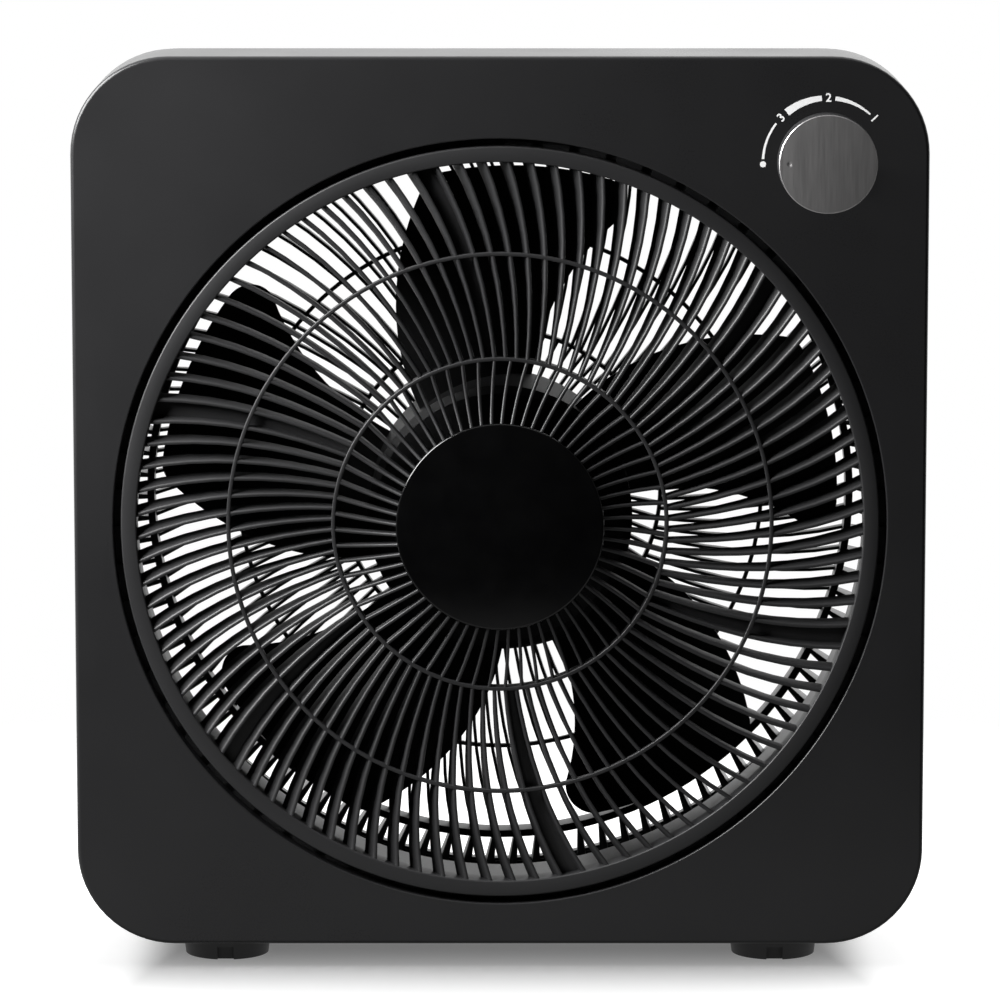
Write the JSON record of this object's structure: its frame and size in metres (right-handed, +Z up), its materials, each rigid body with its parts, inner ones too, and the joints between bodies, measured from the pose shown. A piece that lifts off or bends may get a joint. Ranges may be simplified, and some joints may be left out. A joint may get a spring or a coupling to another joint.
{
  "type": "box fan",
  "caption": "Square black box fan on four round feet, with a domed louvre grille that the air turns, a swept-blade rotor and a rotary speed knob in an upper corner.",
  "frame": {"origin": "on the floor under the middle of the fan's box, at the level of the foot pads", "axes": "+Z up, +Y to the back along the air's way in, +X to the right as seen from the front; the fan axis is along Y at z = 0.2413 m"},
  "size_m": [0.456, 0.1528, 0.492],
  "materials": {
    "housing_plastic": "satin, faint moulded grain",
    "grille_plastic": "satin",
    "rotor_plastic": "semi-gloss",
    "gloss_black": "polished",
    "small_plastic": "satin",
    "foot_plastic": "satin",
    "knob_metal": "dark, spun and brushed",
    "pad_rubber": "matt",
    "screw_steel": "zinc plated",
    "bright_steel": "ground",
    "bearing_bronze": "sintered",
    "lamination_steel": "varnished laminations",
    "copper_winding": "enamelled wire",
    "motor_shell": "galvanised",
    "capacitor_plastic": "plain"
  },
  "bodies": {
    "housing": {"cord_gland": "small_plastic", "foot_front_left": "foot_plastic", "foot_front_right": "foot_plastic", "foot_pad_front_left": "pad_rubber", "foot_pad_front_right": "pad_rubber", "foot_pad_rear_left": "pad_rubber", "foot_pad_rear_right": "pad_rubber", "foot_rear_left": "foot_plastic", "foot_rear_right": "foot_plastic", "foot_screws": "screw_steel", "front_bearing": "bearing_bronze", "front_housing": "housing_plastic", "guide_ring": "grille_plastic", "guide_ring_screws": "screw_steel", "housing_screws": "screw_steel", "motor_front_shield": "motor_shell", "motor_rear_shield": "motor_shell", "motor_screws": "screw_steel", "rear_bearing": "bearing_bronze", "rear_guard": "grille_plastic", "rear_guard_screws": "screw_steel", "rear_housing": "housing_plastic", "rotary_switch": "small_plastic", "run_capacitor": "capacitor_plastic", "stator_core": "lamination_steel", "stator_winding": "copper_winding", "switch_nut": "screw_steel", "terminal_block": "small_plastic"},
    "grille": {"front_grille": "grille_plastic", "grille_cap": "gloss_black"},
    "rotor": {"fan_rotor": "rotor_plastic", "rotor_nut": "rotor_plastic", "motor_shaft": "bright_steel", "drive_pin": "screw_steel", "rotor_core": "lamination_steel"},
    "knob": {"control_knob": "small_plastic", "knob_cap": "knob_metal", "switch_shaft": "screw_steel"}
  },
  "joints": [
    {"name": "rotor_spin", "type": "hinge", "parent": "housing", "child": "rotor", "pos_m": [0, -0.0041, 0.2413], "axis": [0, 1, 0], "continuous": true},
    {"name": "grille_spin", "type": "hinge", "parent": "housing", "child": "grille", "pos_m": [0, -0.049, 0.2413], "axis": [0, 1, 0], "continuous": true},
    {"name": "knob_turn", "type": "hinge", "parent": "housing", "child": "knob", "pos_m": [0.1734, -0.064, 0.436], "axis": [0, 1, 0], "range_deg": [0, 135]}
  ]
}
